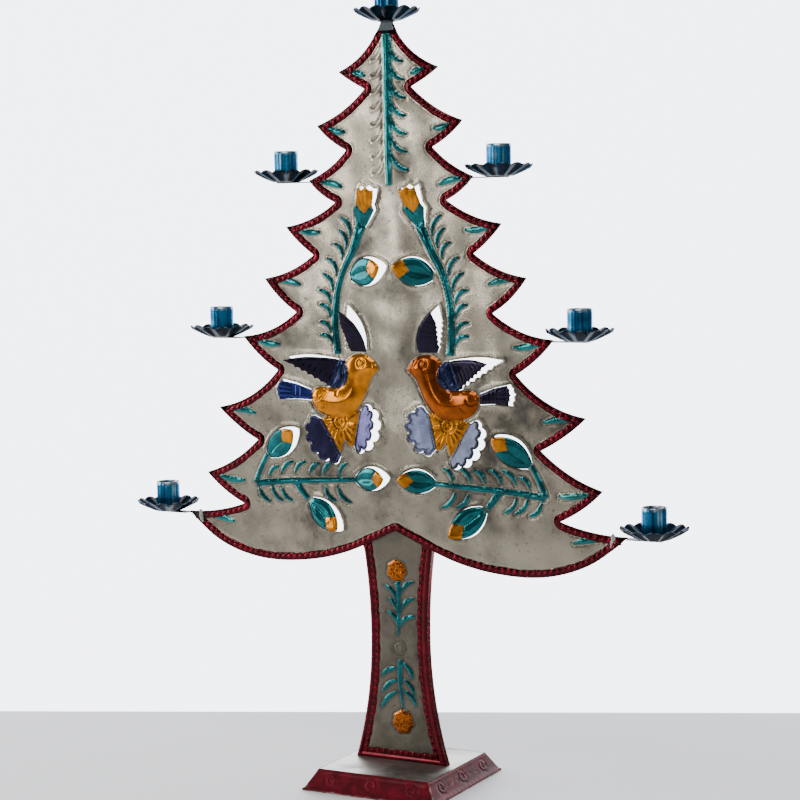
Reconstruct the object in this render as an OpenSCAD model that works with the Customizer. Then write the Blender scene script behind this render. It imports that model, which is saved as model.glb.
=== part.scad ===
// Tin tree of life candelabra: one cut and chased tin tree on a waisted box
// trunk and a low folded base, with seven candle cups on fluted drip pans.
// Origin at the centre of the underside, +Z up, front towards -Y, millimetres.

/* [Overall] */
// Width of the tree between its two lowest tips
tree_width = 486; // [240:2:720]
// Height of the tree sheet from its lowest lobes to its apex
tree_height = 529; // [260:1:800]
// Height of the trunk from the base to the lowest lobes of the tree
trunk_rise = 193; // [100:1:300]

/* [Sheet] */
// Thickness of the tin in the tree, trunk and base
tin = 0.6; // [0.4:0.1:1.6]
// Height that the chased stems stand above the tin
relief = 0.8; // [0.3:0.1:1.5]
// Angle that the cut buds, tulips and tails are bent forward
tab_lift = 14; // [4:1:25]
// Angle that the four wings and the four fan lobes are bent forward
wing_lift = 25; // [6:1:35]

/* [Trunk] */
// Depth of the hollow trunk from front to back
trunk_depth = 8; // [6:1:20]
// Width of the trunk where it is narrowest
waist_width = 63; // [40:1:100]
// Radius of the side curves below the waist
flare_radius = 420; // [300:10:900]
// Height that the trunk reaches up behind the tree's central notch
trunk_lap = 12; // [6:1:16]

/* [Base] */
// Width of the base along its hem
base_width = 146; // [110:2:220]
// Width of the flat top of the base
base_top = 121; // [106:1:180]
// Height of the base
base_height = 20; // [12:1:40]
// Height of the hem round the foot of the base
hem_height = 2.4; // [1.5:0.1:5]

/* [Candle holders] */
// Inside diameter of each candle cup
cup_bore = 22.2; // [12:0.2:30]
// Wall thickness of each candle cup
cup_wall = 0.6; // [0.4:0.1:1.5]
// Height of each candle cup above the floor of its pan
cup_height = 30; // [15:1:45]
// Diameter of each drip pan across its flutes
pan_width = 65; // [50:1:90]
// Height of the middle of a pan's rim above its underside
pan_rise = 10.5; // [6:0.5:20]
// Height of the flutes at the rim, from the middle
flute_height = 1.7; // [0.5:0.1:3]
// Number of flutes round each pan
flutes = 14; // [8:1:18]
// Distance from a branch tip out to the middle of its pan
arm_reach = 26; // [18:1:45]
// Width of the flat arm under each pan
arm_width = 10; // [6:0.5:14]
// Thickness of the flat arm under each pan
arm_gauge = 1; // [0.6:0.1:2]

/* [Hidden] */
$fn = 72;
eps = 0.02;
half_width = tree_width / 2;
lobe_low = base_height + trunk_rise;
tree_top = lobe_low + tree_height;
tree_back = -trunk_depth / 2;
tree_front = tree_back - tin;
tree_mid = tree_back - tin / 2;
// the tree is set out on a board 486 wide and 529 high, and scaled from it
sx = tree_width / 486;
sz = tree_height / 529;
cup_radius = cup_bore / 2 + cup_wall;
pan_radius = pan_width / 2;
pan_floor = cup_radius + 0.6;
waist_z = base_height + 0.65 * trunk_rise;
crest_radius = 1.4 * flare_radius;
trunk_top = lobe_low + 37.5 * sz + trunk_lap;
clip_leg = 8;
clip_half = 6.3;
arm_ear = 7;
hinge_bite = 0.25;
tab_trim = 0.96;

// branch tips and the notches under them, right-hand side, height above the lobes
tips = [[54.5, 484], [79.5, 433], [90.5, 380], [118.5, 335], [144, 284],
    [171, 226], [202.5, 153.5], [219, 86], [243, 44.5]];
notches = [[25, 466.5], [47.5, 408.5], [61, 358], [88, 307], [108, 250.5],
    [131, 192.5], [156, 121.5], [175.5, 55.5]];
// how far each edge over a tip hollows inward, and each edge under it swells out
hollows = [7, 4, 3, 4, 4, 5.5, 7.5, 4.5, 3];
swells = [0.8, 2.2, 2.4, 1.6, 2.8, 2.6, 2.2, 2.6];
// sweep of the lower lobe from the lowest tip to the central notch
lobe_curve = [[228, 31.5], [205, 16], [176, 5], [145, 0], [112, 1], [80, 6],
    [50, 15], [24, 26.5], [0, 37.5]];

function board(p) = [p[0] * sx, lobe_low + p[1] * sz];
function swept(a, b, bulge, n) = let(d = b - a, m = [-d[1], d[0]] / norm(d))
    [for (i = [0:n - 1]) let(t = i / n) a + d * t + m * (4 * bulge * t * (1 - t))];
function smooth(p, i, t) = let(
    a = p[max(i - 1, 0)], b = p[i], c = p[i + 1], d = p[min(i + 2, len(p) - 1)])
    0.5 * ((2 * b) + (c - a) * t + (2 * a - 5 * b + 4 * c - d) * t * t
    + (3 * b - a - 3 * c + d) * t * t * t);
function smooth_run(p, n) = [for (i = [0:len(p) - 2]) for (k = [0:n - 1]) smooth(p, i, k / n)];
function upper_edge(i) = swept(i == 0 ? [clip_half + 0.2, 529] : notches[i - 1], tips[i], -hollows[i], 7);
function lower_edge(i) = swept(tips[i], notches[i], swells[i], 5);
function right_edge() = concat(
    [for (i = [0:8]) each concat(upper_edge(i), i < 8 ? lower_edge(i) : [])],
    smooth_run(concat([tips[8]], lobe_curve), 3),
    [[0, 37.5]]);
function tree_outline() = let(r = [for (p = right_edge()) board(p)], n = len(r))
    concat(r, [for (i = [n - 2:-1:0]) [-r[i][0], r[i][1]]]);

// a pointed bud from its root to its tip; the first and last points are its hinge
function bud(root, tip, width) = let(d = tip - root, m = [-d[1], d[0]] / norm(d))
    [for (i = [-9:9]) let(t = 1 - abs(i) / 9 * 0.94)
        root + d * t + m * (sign(i) * width / 2 * pow(sin(180 * t), 0.7))];
tulip = [[37, 333], [35, 344], [36, 354], [31, 359], [28, 365], [26, 374], [21, 371],
    [17, 375], [13, 370], [9, 371], [13, 360], [16, 352], [24, 343], [30, 333]];
high_wing = [[49, 212], [53, 221], [55, 234], [53.5, 248], [49, 259], [41, 250], [33, 239],
    [27, 225], [27, 212]];
side_wing = [[57, 182], [70, 176.5], [82, 179.5], [94, 188], [106, 196.5], [119, 206],
    [97, 208], [75, 207], [60, 204.5], [56, 198]];
tail = [[93, 163], [110, 164], [129, 163], [131, 174], [126, 185.5], [109, 180], [93, 174]];
inner_lobe = [[38, 153], [33, 157.5], [26, 158], [20, 154.5], [17, 148], [16.5, 141], [17.5, 133],
    [20.5, 125.5], [26, 119], [33, 114.5], [40, 113], [46, 118.5]];
outer_lobe = [[59, 107.5], [66, 102], [74, 102.5], [81, 108], [88, 112.5], [92, 119],
    [93, 126], [96, 132], [95, 139], [90, 144.5], [83, 147], [77, 144]];
// every cut motif: its outline, then the angle it is bent forward
motifs = [
    [bud([49, 285], [4, 296], 28), tab_lift],
    [bud([47, 85.5], [5, 89], 24), tab_lift],
    [bud([147, 105], [108, 134], 26), tab_lift],
    [bud([99, 64.5], [60, 34], 26), tab_lift],
    [tulip, tab_lift], [tail, tab_lift],
    [high_wing, wing_lift], [side_wing, wing_lift],
    [inner_lobe, wing_lift], [outer_lobe, wing_lift]];

// branch stems, bird bodies and sprig, right-hand side
stem_line = [[33, 333], [43, 311], [54, 291], [60.5, 272], [63.5, 253], [64, 234], [62.5, 215]];
sprig_line = [[49, 85], [86, 83], [122, 81], [160, 77]];
bird_body = [[15, 195], [24, 206.5], [32, 209.5], [44, 208], [51, 203], [53, 192], [54, 180], [62, 175],
    [74, 175], [86, 175], [91, 170], [90, 159], [82, 153], [70, 148], [56, 147], [46, 153],
    [39, 162], [32, 174], [25, 187], [22, 191]];

// half the width of the trunk at height z
function trunk_half(z) = let(d = z - waist_z, r = d < 0 ? flare_radius : crest_radius)
    waist_width / 2 + r - sqrt(max(r * r - d * d, 1));
function trunk_outline(inset, steps) = let(
    zs = [for (i = [0:steps]) base_height + (trunk_top - base_height) * i / steps])
    concat([for (z = zs) [trunk_half(z) - inset, z]],
        [for (i = [steps:-1:0]) [inset - trunk_half(zs[i]), zs[i]]]);

// stands a flat drawing up in the plane y = at, its thickness growing to the front
module upright(at, depth) {
    translate([0, at, 0]) rotate([90, 0, 0]) linear_extrude(height = depth) children();
}

module both_sides() {
    children();
    mirror([1, 0, 0]) children();
}

// a flat band of metal following a line of points
module band(line, w0, w1) {
    n = len(line) - 1;
    side = [for (i = [0:n]) let(
        d = line[min(i + 1, n)] - line[max(i - 1, 0)],
        m = [-d[1], d[0]] / norm(d),
        w = w0 + (w1 - w0) * i / n) [line[i] + m * w / 2, line[i] - m * w / 2]];
    polygon(concat([for (s = side) s[0]], [for (i = [n:-1:0]) side[i][1]]));
}

// one cut motif, joined along its hinge and bent forward; it is a hair narrower than its window
module bent_tab(outline, lift) {
    pts = [for (p = outline) board(p)];
    n = len(pts);
    middle = (pts[0] + pts[n - 1]) / 2;
    edge = (pts[0] - pts[n - 1]) / norm(pts[0] - pts[n - 1]);
    far = pts[floor(n / 2)] - middle;
    d = edge[0] * far[1] - edge[1] * far[0] > 0 ? edge : -edge;
    out = [-d[1], d[0]];
    sunk = hinge_bite * sin(lift) + tin * (1 - cos(lift)) / 2;
    translate([0, tree_back, 0]) rotate([90, 0, 0])
        translate([middle[0], middle[1], sunk]) rotate([0, 0, atan2(d[1], d[0])])
            rotate([lift, 0, 0]) linear_extrude(height = tin)
                polygon([for (p = pts) [(p - middle) * d * tab_trim, (p - middle) * out - hinge_bite]]);
}

module tree_panel() {
    color([0.72, 0.70, 0.65]) {
        difference() {
            upright(tree_back, tin) polygon(tree_outline());
            both_sides() for (m = motifs)
                upright(tree_back + 1, tin + 2) polygon([for (p = m[0]) board(p)]);
        }
        both_sides() {
            for (m = motifs) bent_tab(m[0], m[1]);
            upright(tree_front + eps, relief) band([for (p = stem_line) board(p)], 6, 8);
            upright(tree_front + eps, relief) band([for (p = sprig_line) board(p)], 4, 6.5);
            upright(tree_front + eps, 2 * relief) polygon([for (p = bird_body) board(p)]);
        }
        upright(tree_front + eps, relief) band([board([0, 372]), board([0, 519])], 5, 7);
    }
}

module trunk_front() {
    color([0.70, 0.68, 0.63]) {
        difference() {
            upright(trunk_depth / 2 - tin, trunk_depth - tin) polygon(trunk_outline(0, 24));
            upright(trunk_depth / 2 - tin + 1, trunk_depth - 2 * tin + 1)
                polygon(trunk_outline(tin, 24));
        }
        // two chased sprigs and the stamped ring between them
        mid = base_height + 0.59 * trunk_rise;
        for (s = [-1, 1]) {
            upright(tree_back + eps, relief)
                band([[0, mid + s * 12], [0, mid + s * 0.31 * trunk_rise]], 3, 3);
            translate([0, tree_back + eps, mid + s * 0.37 * trunk_rise]) rotate([90, 0, 0])
                cylinder(h = relief, r1 = 10, r2 = 8);
        }
        translate([0, tree_back + eps, mid]) rotate([90, 0, 0]) difference() {
            cylinder(h = relief, r = 8);
            translate([0, 0, -1]) cylinder(h = relief + 2, r = 6.4);
        }
    }
}

module trunk_back() {
    color([0.60, 0.58, 0.54])
        upright(trunk_depth / 2, tin) polygon(trunk_outline(0, 24));
}

// a block with its four sides sloped in from foot to top
module sloped_block(foot, top, h) {
    lean = atan((foot - top) / 2 / h);
    difference() {
        translate([-foot / 2, -foot / 2, 0]) cube([foot, foot, h]);
        for (a = [0:90:270])
            rotate([0, 0, a]) translate([foot / 2, -foot, 0]) rotate([0, -lean, 0])
                translate([0, 0, -h]) cube([foot, 2 * foot, 4 * h]);
    }
}

module base_shell() {
    skirt = base_width - 2 * tin;
    slope = (skirt - base_top) / 2;
    skin = 2 * tin * sqrt(slope * slope + base_height * base_height) / base_height;
    color([0.55, 0.07, 0.10]) difference() {
        union() {
            sloped_block(skirt, base_top, base_height);
            translate([-base_width / 2, -base_width / 2, 0])
                cube([base_width, base_width, hem_height]);
        }
        intersection() {
            translate([0, 0, -eps]) sloped_block(skirt - skin, base_top - skin, base_height + eps);
            translate([-base_width, -base_width, -1])
                cube([2 * base_width, 2 * base_width, base_height - tin + 1]);
        }
        translate([-skirt / 2, -skirt / 2, -1]) cube([skirt, skirt, 1 + tin]);
    }
}

module base_bottom() {
    inside = base_width - 2 * tin;
    color([0.50, 0.49, 0.47])
        translate([-inside / 2, -inside / 2, 0]) cube([inside, inside, tin]);
}

// saddle folded over the apex, carrying the top pan
module apex_bracket() {
    color([0.10, 0.24, 0.40]) {
        translate([-clip_half, tree_mid - arm_width / 2, tree_top])
            cube([2 * clip_half, arm_width, arm_gauge]);
        for (at = [tree_front, tree_back + arm_gauge])
            upright(at, arm_gauge) polygon([
                [-clip_half, tree_top + eps], [-clip_half - 1.6, tree_top - clip_leg],
                [clip_half + 1.6, tree_top - clip_leg], [clip_half, tree_top + eps]]);
    }
}

// side = -1 left, 1 right; level = index of the branch tip that carries the pan
function holder_x(side, level) = side * (tips[level][0] * sx + arm_reach);
function holder_z(level) = board(tips[level])[1] - 1;

module arm(side, level) {
    tip_x = tips[level][0] * sx;
    z1 = holder_z(level);
    color([0.30, 0.33, 0.36]) mirror([side < 0 ? 1 : 0, 0, 0]) {
        // under the pan, then back past the tip behind the tree
        translate([tip_x + 1, tree_mid - arm_width / 2, z1 - arm_gauge])
            cube([arm_reach + pan_floor * 0.6, arm_width, arm_gauge]);
        translate([tip_x - 20, tree_back, z1 - arm_gauge])
            cube([21 + eps, arm_width / 2 - tin / 2, arm_gauge]);
        translate([tip_x - 20, tree_back, z1 - arm_ear])
            cube([13, arm_gauge, arm_ear]);
    }
}

// fluted dish with a flat round floor
module drip_pan(x, z) {
    n = 2 * flutes;
    turn = 360 / n;
    r0 = pan_floor - 0.2;
    rings = [for (low = [0, 1]) for (outer = [0, 1]) for (i = [0:n - 1])
        let(r = outer == 1 ? pan_radius : r0,
            wave = outer == 1 ? flute_height * (i % 2 == 0 ? 1 : -1) : 0,
            h = outer == 1 ? pan_rise + wave : tin)
        [r * cos(i * turn), r * sin(i * turn), h - low * tin]];
    color([0.10, 0.16, 0.22]) translate([x, tree_mid, z]) {
        cylinder(h = tin, r = pan_floor);
        polyhedron(points = rings, faces = [
            for (i = [0:n - 1]) let(j = (i + 1) % n, k = 2 * n)
                for (quad = [[j, n + j, n + i, i],
                    [k + i, k + n + i, k + n + j, k + j],
                    [n + j, k + n + j, k + n + i, n + i],
                    [k + i, k + j, j, i]])
                    each [[quad[0], quad[1], quad[2]], [quad[0], quad[2], quad[3]]]]);
    }
}

// rolled cup with a lapped seam at the back
module candle_cup(x, z) {
    color([0.05, 0.33, 0.58]) translate([x, tree_mid, z + tin]) {
        difference() {
            cylinder(h = cup_height, r = cup_radius);
            translate([0, 0, -1]) cylinder(h = cup_height + 2, r = cup_bore / 2);
        }
        difference() {
            intersection() {
                cylinder(h = cup_height, r = cup_radius + 0.4);
                translate([-2, 0, 0]) cube([4, cup_radius + 2, cup_height]);
            }
            translate([0, 0, -1]) cylinder(h = cup_height + 2, r = cup_radius - 0.2);
        }
    }
}

// strip soldered over the front of a lowest tip
module tip_patch(side) {
    color([0.80, 0.79, 0.75]) mirror([side < 0 ? 1 : 0, 0, 0])
        upright(tree_front, 0.4) polygon([for (p = [
            [225, 34], [229, 36], [230.5, 46], [226.5, 46]]) board(p)]);
}

module arm_upper_left() { arm(-1, 2); }
module arm_upper_right() { arm(1, 2); }
module arm_middle_left() { arm(-1, 5); }
module arm_middle_right() { arm(1, 5); }
module arm_lower_left() { arm(-1, 8); }
module arm_lower_right() { arm(1, 8); }
module pan_top() { drip_pan(0, tree_top + arm_gauge); }
module pan_upper_left() { drip_pan(holder_x(-1, 2), holder_z(2)); }
module pan_upper_right() { drip_pan(holder_x(1, 2), holder_z(2)); }
module pan_middle_left() { drip_pan(holder_x(-1, 5), holder_z(5)); }
module pan_middle_right() { drip_pan(holder_x(1, 5), holder_z(5)); }
module pan_lower_left() { drip_pan(holder_x(-1, 8), holder_z(8)); }
module pan_lower_right() { drip_pan(holder_x(1, 8), holder_z(8)); }
module cup_top() { candle_cup(0, tree_top + arm_gauge); }
module cup_upper_left() { candle_cup(holder_x(-1, 2), holder_z(2)); }
module cup_upper_right() { candle_cup(holder_x(1, 2), holder_z(2)); }
module cup_middle_left() { candle_cup(holder_x(-1, 5), holder_z(5)); }
module cup_middle_right() { candle_cup(holder_x(1, 5), holder_z(5)); }
module cup_lower_left() { candle_cup(holder_x(-1, 8), holder_z(8)); }
module cup_lower_right() { candle_cup(holder_x(1, 8), holder_z(8)); }
module patch_left() { tip_patch(-1); }
module patch_right() { tip_patch(1); }

tree_panel();
trunk_front();
trunk_back();
base_shell();
base_bottom();
apex_bracket();
arm_upper_left();
arm_upper_right();
arm_middle_left();
arm_middle_right();
arm_lower_left();
arm_lower_right();
pan_top();
pan_upper_left();
pan_upper_right();
pan_middle_left();
pan_middle_right();
pan_lower_left();
pan_lower_right();
cup_top();
cup_upper_left();
cup_upper_right();
cup_middle_left();
cup_middle_right();
cup_lower_left();
cup_lower_right();
patch_left();
patch_right();
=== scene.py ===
import math

import bpy
import numpy as np
from mathutils import Matrix, Vector, geometry


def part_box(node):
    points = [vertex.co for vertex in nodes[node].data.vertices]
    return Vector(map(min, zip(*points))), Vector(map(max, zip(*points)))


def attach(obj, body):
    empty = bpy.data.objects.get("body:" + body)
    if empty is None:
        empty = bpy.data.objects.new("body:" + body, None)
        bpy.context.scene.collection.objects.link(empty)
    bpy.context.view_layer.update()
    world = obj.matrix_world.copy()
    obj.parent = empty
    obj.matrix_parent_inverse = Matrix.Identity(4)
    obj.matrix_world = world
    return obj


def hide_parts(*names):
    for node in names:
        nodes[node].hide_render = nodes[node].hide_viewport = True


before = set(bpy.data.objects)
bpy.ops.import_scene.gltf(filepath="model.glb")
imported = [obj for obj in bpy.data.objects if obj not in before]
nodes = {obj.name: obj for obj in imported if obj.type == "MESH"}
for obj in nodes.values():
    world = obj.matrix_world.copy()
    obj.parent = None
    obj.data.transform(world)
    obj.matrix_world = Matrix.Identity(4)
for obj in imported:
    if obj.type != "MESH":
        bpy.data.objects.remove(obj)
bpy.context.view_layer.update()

# ---------------------------------------------------------------------------
# The tree: one sheet of tinplate, cut with shears to nine concave tiers a side,
# chased from both faces over a soft backing, slit round the motifs so that they
# bend forward as flaps, and brushed with clear coloured lacquers.

lo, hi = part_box("tree_panel")
MM = 0.001
TREE_HIGH = 529
TREE_FOOT = hi.z / MM - TREE_HIGH
FRONT = -4.0
TIN = 0.5
TIERS = 9

RED = np.array([0.115, 0.0010, 0.008, 1])
TEAL = np.array([0.004, 0.150, 0.165, 1])
AMBER = np.array([0.66, 0.225, 0.0005, 1])
RUST = np.array([0.40, 0.085, 0.001, 1])
VIOLET = np.array([0.011, 0.005, 0.025, 1])
BLUE = np.array([0.045, 0.065, 0.33, 1])
BARE = np.array([1.0, 1.0, 1.0, 0])

tips = np.array([[54.5, 484], [79.5, 433], [90.5, 380], [118.5, 335], [144, 284], [171, 226],
                 [202.5, 153.5], [219, 86], [243, 44.5]], float)
dips = np.array([[25, 466.5], [47.5, 408.5], [61, 358], [88, 307], [108, 250.5], [131, 192.5],
                 [156, 121.5], [175.5, 55.5]], float)
hollow = [7, 4, 3, 4, 4, 5.5, 7.5, 4.5, 3]
swell = [0.8, 2.2, 2.4, 1.6, 2.8, 2.6, 2.2, 2.6]
lobe = [[228, 31.5], [205, 16], [176, 5], [145, 0], [112, 1], [80, 6], [50, 15], [24, 26.5], [0, 37.5]]


def left_of(d):
    """The unit vectors a quarter turn to the left of each vector."""
    d = np.atleast_2d(d)
    return np.column_stack([-d[:, 1], d[:, 0]]) / np.hypot(*d.T)[:, None]


def swept(a, b, bulge, n):
    """Points from a towards b on a shallow parabola that bulges to the left by bulge."""
    a, b = np.array(a, float), np.array(b, float)
    t = np.arange(n)[:, None] / n
    return a + (b - a) * t + left_of(b - a) * (4 * bulge * t * (1 - t))


def smooth(points, n):
    """Catmull-Rom curve through the points, n steps to a span."""
    p = np.array(points, float)
    q = np.vstack([2 * p[0] - p[1], p, 2 * p[-1] - p[-2]])
    t = (np.arange(n) / n)[None, :, None]
    a, b, c, d = (q[i:len(q) - 3 + i][:, None] for i in range(4))
    run = 0.5 * (2 * b + (c - a) * t + (2 * a - 5 * b + 4 * c - d) * t * t + (3 * b - a - 3 * c + d) * t ** 3)
    return np.vstack([run.reshape(-1, 2), p[-1:]])


def even(points, step, closed=True):
    """The same line resampled to nearly equal steps, keeping its first point."""
    p = np.array(points, float)
    if closed:
        p = np.vstack([p, p[:1]])
    s = np.r_[0, np.cumsum(np.hypot(*np.diff(p, axis=0).T))]
    n = max(int(round(s[-1] / step)), 3)
    at = np.linspace(0, s[-1], n + 1)[: n if closed else n + 1]
    return np.column_stack([np.interp(at, s, p[:, 0]), np.interp(at, s, p[:, 1])])


def flipped(points):
    """The same points mirrored to the left-hand side."""
    return np.array(points, float) * [-1, 1]


def line_distance(p, line, closed=False, reach=19.0):
    """Distance from each point to a line, capped at reach, with the length along it and the nearest place.

    Points are taken in level bands, each against the pieces of line that pass within reach of it."""
    q = np.array(line, float)
    if closed:
        q = np.vstack([q, q[:1]])
    a, d = q[:-1], np.diff(q, axis=0)
    size = np.maximum((d ** 2).sum(1), 1e-9)
    start = np.r_[0, np.cumsum(np.sqrt(size))][:-1]
    low, high = np.minimum(q[:-1, 1], q[1:, 1]) - reach, np.maximum(q[:-1, 1], q[1:, 1]) + reach
    best, along, foot = np.full(len(p), reach), np.zeros(len(p)), np.array(p, float)
    for k in np.array_split(np.argsort(p[:, 1]), len(p) // 500 + 1):
        if not len(k):
            continue
        j = np.flatnonzero((low < p[k[-1], 1]) & (high > p[k[0], 1]))
        if not len(j):
            continue
        r = p[k, None] - a[j]
        t = ((r * d[j]).sum(2) / size[j]).clip(0, 1)
        gap = ((r - t[..., None] * d[j]) ** 2).sum(2)
        i = gap.argmin(1)
        t = t[np.arange(len(k)), i]
        gap = np.sqrt(gap.min(1))
        i = j[i]
        ok = gap < reach
        best[k[ok]] = gap[ok]
        along[k[ok]] = (start[i] + t * np.sqrt(size[i]))[ok]
        foot[k[ok]] = (a[i] + t[:, None] * d[i])[ok]
    return best, along, foot


def inside(p, ring):
    """Even-odd test of each point against a closed ring, band by band."""
    q = np.array(ring, float)
    r = np.roll(q, -1, 0)
    low, high = np.minimum(q[:, 1], r[:, 1]), np.maximum(q[:, 1], r[:, 1])
    slope = (r[:, 0] - q[:, 0]) / np.where(r[:, 1] == q[:, 1], 1, r[:, 1] - q[:, 1])
    odd = np.zeros(len(p), bool)
    for k in np.array_split(np.argsort(p[:, 1]), len(p) // 500 + 1):
        if len(k):
            j = np.flatnonzero((low <= p[k[-1], 1]) & (high >= p[k[0], 1]))
            x, y = p[k, 0:1], p[k, 1:2]
            cut = (q[j, 1] > y) != (r[j, 1] > y)
            odd[k] = (cut & (x < slope[j] * (y - q[j, 1]) + q[j, 0])).sum(1) % 2 == 1
    return odd


def near(p, shape, pad):
    """Which points lie within pad of a shape's bounding box."""
    q = np.array(shape)
    return np.flatnonzero(((p > q.min(0) - pad) & (p < q.max(0) + pad)).all(1))


def waves(p, scale, seed):
    """Soft hand-made unevenness: a sum of a few slow random waves, about -1 to 1."""
    rng = np.random.default_rng(seed)
    total = np.zeros(len(p))
    for _ in range(7):
        k = rng.normal(0, 1, 2)
        total += np.sin(p @ k / scale * rng.uniform(0.6, 1.6) + rng.uniform(0, 6.28))
    return total / 4


def along_axis(root, tip, points):
    """Points given as (share of the way from root to tip, millimetres to the left) set on the sheet."""
    root, tip, q = np.array(root, float), np.array(tip, float), np.array(points, float)
    return root + (tip - root) * q[:, :1] + left_of(tip - root) * q[:, 1:]


def toothed(a, b, n, depth):
    """A saw edge of n rounded teeth from a towards b, standing out to the left."""
    t = np.linspace(0, 1, n * 5 + 1)[:-1]
    a, b = np.array(a, float), np.array(b, float)
    return a + (b - a) * t[:, None] + left_of(b - a) * (depth * np.abs(np.sin(np.pi * n * t)))[:, None]


def hoop(centre, radius, angle):
    """Points on a circle, or on an arc of it, at the given angles."""
    return np.array(centre) + radius * np.column_stack([np.cos(angle), np.sin(angle)])


def bud_half(t, width):
    """Half-width of a bud: half the width times the 0.7 power of the sine of the share of its length."""
    return width / 2 * np.sin(np.pi * np.array(t)).clip(0) ** 0.7


def bud_shape(root, tip, width):
    """Outline of a pointed bud, starting and ending at its hinge near the root."""
    i = np.linspace(-1, 1, 41)
    t = 1 - np.abs(i) * 0.94
    return along_axis(root, tip, np.column_stack([t, np.sign(i) * bud_half(t, width)]))


def ribbon(line, widths):
    """A band along a line, its width read evenly along it from a short list of widths."""
    p = np.array(line, float)
    w = np.interp(np.linspace(0, 1, len(p)), np.linspace(0, 1, len(widths)), widths) / 2
    side = left_of(np.gradient(p, axis=0)) * w[:, None]
    return np.vstack([p + side, (p - side)[::-1]])


def leaf(root, tip, curve, width):
    """A comma-shaped stroke: a bent centre line, thin at its root and full in its outer half."""
    t = np.linspace(0, 1, 13)
    mid = along_axis(root, tip, np.column_stack([t, 4 * curve * t * (1 - t)]))
    return ribbon(mid, [width * 0.35, width * 0.8, width, width * 0.9, width * 0.4])


class Chasing:
    """What is worked into a sheet: raised areas, punched lines, and where lacquer is brushed."""

    def __init__(self):
        self.areas, self.lines, self.coats, self.seams = [], [], [], []

    def area(self, ring, colour, height, shoulder, halo=0.35, crisp=True):
        """A raised area with a rounded shoulder; just outside it the metal sinks by halo."""
        ring = even(ring, 1.0)
        self.areas.append((ring, height, shoulder, halo, crisp))
        if colour is not None:
            self.coats.append((ring, colour, None))

    def line(self, points, depth, width, closed=False):
        """A punched line; a negative depth raises it from the back instead."""
        self.lines.append((np.array(points, float), depth, width, closed))

    def coat(self, ring, colour, *edges, within=None):
        """Lacquer over a region, kept within a flap if one is given; each edge keeps the boundary crisp."""
        self.coats.append((np.array(ring, float), colour, within))
        self.seams += [even(e, 1.0, False) for e in edges]

    def height(self, p):
        """Height of each point, and how much darker its hollows are to be painted."""
        h, hollow_darkening = np.zeros(len(p)), np.zeros(len(p))
        for ring, top, shoulder, halo, _ in self.areas:
            k = near(p, ring, 4)
            if len(k):
                d = line_distance(p[k], ring, True)[0]
                within = inside(p[k], ring)
                x = 1 - (d / shoulder).clip(0, 1)
                h[k] += np.where(within, top * np.sqrt(1 - x ** 2.2), 0)
                sunk = halo * np.where(within, 0, np.exp(-(((d - 0.9) / 0.8) ** 2)))
                h[k] -= sunk
                hollow_darkening[k] += sunk * 1.6
        for line, depth, width, closed in self.lines:
            k = near(p, line, 3 * width)
            if len(k):
                d = line_distance(p[k], line, closed)[0]
                cut = depth * np.exp(-((d / width) ** 2))
                h[k] -= cut
                hollow_darkening[k] += cut.clip(0) * 0.9
        return h, hollow_darkening

    def paint(self, p, colours):
        """Each place keeps the last lacquer brushed over it."""
        for ring, colour, within in self.coats:
            k = near(p, ring, 0.1)
            k = k[inside(p[k], ring)]
            if within is not None:
                k = k[inside(p[k], within)]
            colours[k] = colour
        return colours


def hex_grid(low, high, step):
    """Rows of points in a honeycomb between two corners."""
    ys = np.arange(low[1], high[1], step * 0.866)
    xs = np.arange(low[0], high[0], step)
    x, y = np.meshgrid(xs, ys)
    x = x + (np.arange(len(ys)) % 2)[:, None] * step / 2
    return np.column_stack([x.ravel(), y.ravel()])


def triangulate(rings, lines, loose, keep):
    """Constrained triangles over rings, feature lines and loose points; keep(centres) picks the metal."""
    pts, edges, n = [], [], 0
    for run, closed in [(r, True) for r in rings] + [(r, False) for r in lines]:
        i = np.arange(len(run) if closed else len(run) - 1)
        pts.append(run)
        edges.append(np.column_stack([n + i, n + (i + 1) % len(run)]))
        n += len(run)
    pts.append(loose)
    out = geometry.delaunay_2d_cdt(np.vstack(pts).tolist(), np.vstack(edges).tolist(), [], 0, 1e-4)
    v = np.array([tuple(p) for p in out[0]], float)
    f = np.array(out[2], int)
    f = f[keep(v[f].mean(1))]
    a, b, c = v[f[:, 0]], v[f[:, 1]], v[f[:, 2]]
    turn = (b[:, 0] - a[:, 0]) * (c[:, 1] - a[:, 1]) - (b[:, 1] - a[:, 1]) * (c[:, 0] - a[:, 0])
    f[turn < 0] = f[turn < 0][:, ::-1]
    used, f = np.unique(f, return_inverse=True)
    return v[used], f.reshape(-1, 3)


def lowest_near(p, h, at, reach):
    """The least of the heights h at points p within reach of each place, taken from a grid of cells."""
    cell = reach / 3
    low = p.min(0) - 5 * cell
    size = np.ceil((p.max(0) - low) / cell).astype(int) + 6
    least = np.full(size, 1e9)
    np.minimum.at(least, tuple(((p - low) / cell).astype(int).T), h)
    i, j = ((at - low) / cell).astype(int).T
    out = np.full(len(at), 1e9)
    for a in range(-3, 4):
        for b in range(-3, 4):
            out = np.minimum(out, least[i + a, j + b])
    return out


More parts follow.
